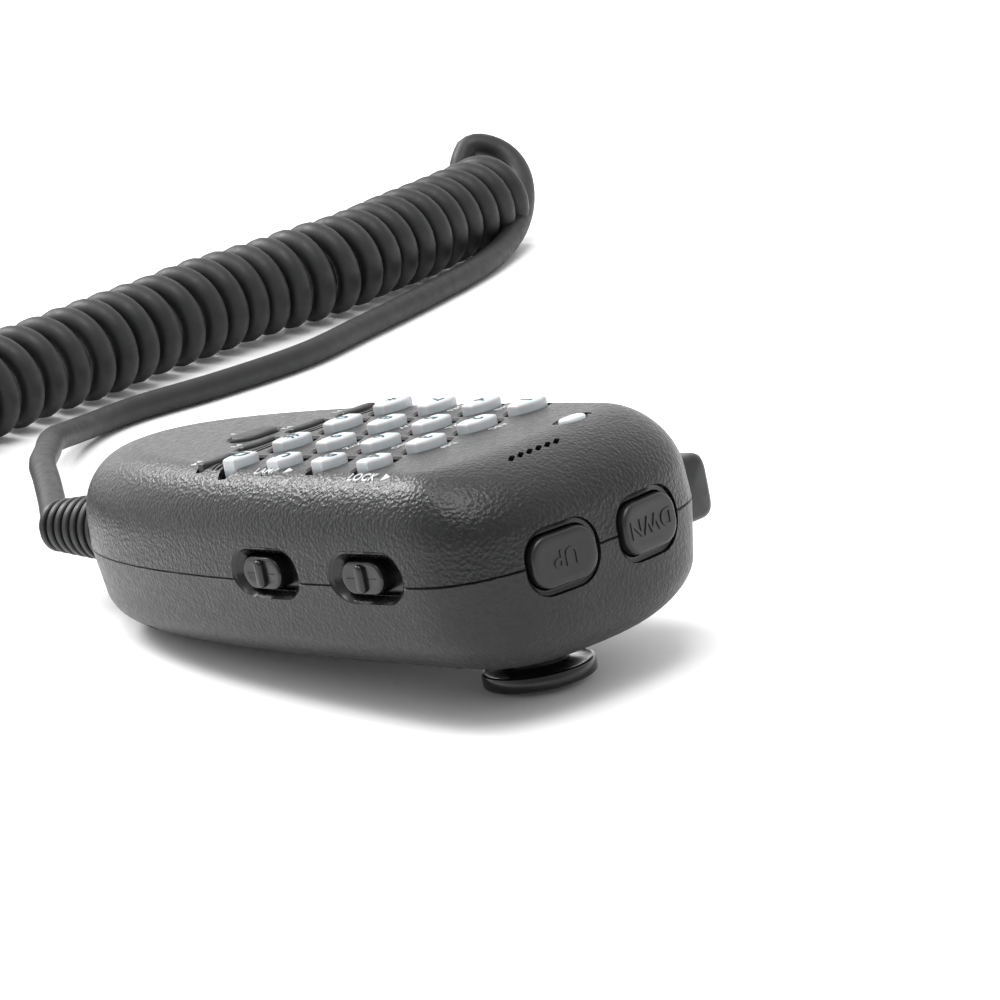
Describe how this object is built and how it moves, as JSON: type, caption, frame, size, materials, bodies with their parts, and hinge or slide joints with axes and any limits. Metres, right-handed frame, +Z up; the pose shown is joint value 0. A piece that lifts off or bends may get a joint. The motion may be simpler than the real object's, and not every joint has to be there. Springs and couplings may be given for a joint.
{
  "type": "hand microphone",
  "caption": "Hand-held radio microphone with a dialling keypad, push-to-talk lever, slide switches, hanger button and curly cord ending in a modular plug.",
  "frame": {"origin": "on the surface that the microphone lies on, under the middle of its plan with the free cord left out", "axes": "+Z up from that surface, +Y along the case towards its top end, +X to the right as seen from above the face; the case is tilted 5.4 degrees about X because it rests on its hanger button"},
  "size_m": [0.2937, 0.2441, 0.0383],
  "materials": {
    "front_plastic": "fine leather-like grain, satin",
    "rear_plastic": "fine leather-like grain, satin",
    "key_silicone": "translucent satin",
    "program_key_rubber": "satin",
    "button_plastic": "smooth satin",
    "slider_plastic": "polished",
    "hanger_plastic": "polished",
    "lens_plastic": "frosted clear",
    "mat_rubber": "matte",
    "board_laminate": "solder resist, satin",
    "dome_steel": "bright",
    "screw_steel": "zinc plated",
    "capsule_metal": "satin",
    "led_resin": "diffused",
    "boot_rubber": "matte",
    "switch_plastic": "matte",
    "connector_plastic": "matte",
    "wire_insulation": "satin",
    "clamp_plastic": "matte",
    "relief_rubber": "satin",
    "cord_jacket": "satin",
    "plug_plastic": "clear polycarbonate",
    "contact_gold": "gold plated"
  },
  "bodies": {
    "case": {"front_shell": "front_plastic", "rear_shell": "rear_plastic", "ptt_pin": "screw_steel", "led_lens": "lens_plastic", "keypad_mat": "mat_rubber", "circuit_board": "board_laminate", "key_domes": "dome_steel", "backlight_leds": "led_resin", "indicator_led": "led_resin", "mic_capsule": "capsule_metal", "mic_boot": "boot_rubber", "slide_switches": "switch_plastic", "end_switches": "switch_plastic", "ptt_switch": "switch_plastic", "board_connector": "connector_plastic", "inner_wires": "wire_insulation", "wire_plug": "connector_plastic", "cord_clamp": "clamp_plastic", "board_screws": "screw_steel", "case_screws": "screw_steel", "hanger_button": "hanger_plastic", "hanger_screw": "screw_steel", "strain_relief": "relief_rubber", "cord_lead": "cord_jacket", "cord_coil": "cord_jacket", "cord_tail": "cord_jacket", "plug_body": "plug_plastic", "plug_contacts": "contact_gold"},
    "key_1": {"key_1": "key_silicone"},
    "key_2": {"key_2": "key_silicone"},
    "key_3": {"key_3": "key_silicone"},
    "key_4": {"key_4": "key_silicone"},
    "key_5": {"key_5": "key_silicone"},
    "key_6": {"key_6": "key_silicone"},
    "key_7": {"key_7": "key_silicone"},
    "key_8": {"key_8": "key_silicone"},
    "key_9": {"key_9": "key_silicone"},
    "key_star": {"key_star": "key_silicone"},
    "key_0": {"key_0": "key_silicone"},
    "key_hash": {"key_hash": "key_silicone"},
    "key_a": {"key_a": "key_silicone"},
    "key_b": {"key_b": "key_silicone"},
    "key_c": {"key_c": "key_silicone"},
    "key_d": {"key_d": "key_silicone"},
    "key_p1": {"key_p1": "program_key_rubber"},
    "key_p2": {"key_p2": "program_key_rubber"},
    "key_p3": {"key_p3": "program_key_rubber"},
    "key_p4": {"key_p4": "program_key_rubber"},
    "key_oval": {"key_oval": "program_key_rubber"},
    "button_up": {"button_up": "button_plastic"},
    "button_down": {"button_down": "button_plastic"},
    "ptt_lever": {"ptt_lever": "button_plastic"},
    "lock_slider": {"lock_slider": "slider_plastic"},
    "lamp_slider": {"lamp_slider": "slider_plastic"}
  },
  "joints": [
    {"name": "key_1_press", "type": "slide", "parent": "case", "child": "key_1", "axis": [0, 0.094, -0.9956], "range_m": [0, 0.0008], "stiffness_N_per_m": 400, "springref_m": -0.0006},
    {"name": "key_2_press", "type": "slide", "parent": "case", "child": "key_2", "axis": [0, 0.094, -0.9956], "range_m": [0, 0.0008], "stiffness_N_per_m": 400, "springref_m": -0.0006},
    {"name": "key_3_press", "type": "slide", "parent": "case", "child": "key_3", "axis": [0, 0.094, -0.9956], "range_m": [0, 0.0008], "stiffness_N_per_m": 400, "springref_m": -0.0006},
    {"name": "key_4_press", "type": "slide", "parent": "case", "child": "key_4", "axis": [0, 0.094, -0.9956], "range_m": [0, 0.0008], "stiffness_N_per_m": 400, "springref_m": -0.0006},
    {"name": "key_5_press", "type": "slide", "parent": "case", "child": "key_5", "axis": [0, 0.094, -0.9956], "range_m": [0, 0.0008], "stiffness_N_per_m": 400, "springref_m": -0.0006},
    {"name": "key_6_press", "type": "slide", "parent": "case", "child": "key_6", "axis": [0, 0.094, -0.9956], "range_m": [0, 0.0008], "stiffness_N_per_m": 400, "springref_m": -0.0006},
    {"name": "key_7_press", "type": "slide", "parent": "case", "child": "key_7", "axis": [0, 0.094, -0.9956], "range_m": [0, 0.0008], "stiffness_N_per_m": 400, "springref_m": -0.0006},
    {"name": "key_8_press", "type": "slide", "parent": "case", "child": "key_8", "axis": [0, 0.094, -0.9956], "range_m": [0, 0.0008], "stiffness_N_per_m": 400, "springref_m": -0.0006},
    {"name": "key_9_press", "type": "slide", "parent": "case", "child": "key_9", "axis": [0, 0.094, -0.9956], "range_m": [0, 0.0008], "stiffness_N_per_m": 400, "springref_m": -0.0006},
    {"name": "key_star_press", "type": "slide", "parent": "case", "child": "key_star", "axis": [0, 0.094, -0.9956], "range_m": [0, 0.0008], "stiffness_N_per_m": 400, "springref_m": -0.0006},
    {"name": "key_0_press", "type": "slide", "parent": "case", "child": "key_0", "axis": [0, 0.094, -0.9956], "range_m": [0, 0.0008], "stiffness_N_per_m": 400, "springref_m": -0.0006},
    {"name": "key_hash_press", "type": "slide", "parent": "case", "child": "key_hash", "axis": [0, 0.094, -0.9956], "range_m": [0, 0.0008], "stiffness_N_per_m": 400, "springref_m": -0.0006},
    {"name": "key_a_press", "type": "slide", "parent": "case", "child": "key_a", "axis": [0, 0.094, -0.9956], "range_m": [0, 0.0008], "stiffness_N_per_m": 400, "springref_m": -0.0006},
    {"name": "key_b_press", "type": "slide", "parent": "case", "child": "key_b", "axis": [0, 0.094, -0.9956], "range_m": [0, 0.0008], "stiffness_N_per_m": 400, "springref_m": -0.0006},
    {"name": "key_c_press", "type": "slide", "parent": "case", "child": "key_c", "axis": [0, 0.094, -0.9956], "range_m": [0, 0.0008], "stiffness_N_per_m": 400, "springref_m": -0.0006},
    {"name": "key_d_press", "type": "slide", "parent": "case", "child": "key_d", "axis": [0, 0.094, -0.9956], "range_m": [0, 0.0008], "stiffness_N_per_m": 400, "springref_m": -0.0006},
    {"name": "key_p1_press", "type": "slide", "parent": "case", "child": "key_p1", "axis": [0, 0.094, -0.9956], "range_m": [0, 0.0008], "stiffness_N_per_m": 400, "springref_m": -0.0006},
    {"name": "key_p2_press", "type": "slide", "parent": "case", "child": "key_p2", "axis": [0, 0.094, -0.9956], "range_m": [0, 0.0008], "stiffness_N_per_m": 400, "springref_m": -0.0006},
    {"name": "key_p3_press", "type": "slide", "parent": "case", "child": "key_p3", "axis": [0, 0.094, -0.9956], "range_m": [0, 0.0008], "stiffness_N_per_m": 400, "springref_m": -0.0006},
    {"name": "key_p4_press", "type": "slide", "parent": "case", "child": "key_p4", "axis": [0, 0.094, -0.9956], "range_m": [0, 0.0008], "stiffness_N_per_m": 400, "springref_m": -0.0006},
    {"name": "key_oval_press", "type": "slide", "parent": "case", "child": "key_oval", "axis": [0, 0.094, -0.9956], "range_m": [0, 0.0008], "stiffness_N_per_m": 400, "springref_m": -0.0006},
    {"name": "button_up_press", "type": "slide", "parent": "case", "child": "button_up", "axis": [-0.1045, -0.9901, -0.0935], "range_m": [0, 0.0008], "stiffness_N_per_m": 600, "springref_m": -0.0006},
    {"name": "button_down_press", "type": "slide", "parent": "case", "child": "button_down", "axis": [0.1045, -0.9901, -0.0935], "range_m": [0, 0.0008], "stiffness_N_per_m": 600, "springref_m": -0.0006},
    {"name": "ptt_press", "type": "hinge", "parent": "case", "child": "ptt_lever", "pos_m": [-0.0196, 0.0113, 0.01903], "axis": [0, 0.094, -0.9956], "range_deg": [0, 2.8], "stiffness_Nm_per_rad": 0.6, "springref_deg": -2.86},
    {"name": "lock_slider_travel", "type": "slide", "parent": "case", "child": "lock_slider", "axis": [0.0087, 0.9955, 0.094], "range_m": [0, 0.0032]},
    {"name": "lamp_slider_travel", "type": "slide", "parent": "case", "child": "lamp_slider", "axis": [0.0663, 0.9934, 0.0938], "range_m": [0, 0.0032]}
  ]
}
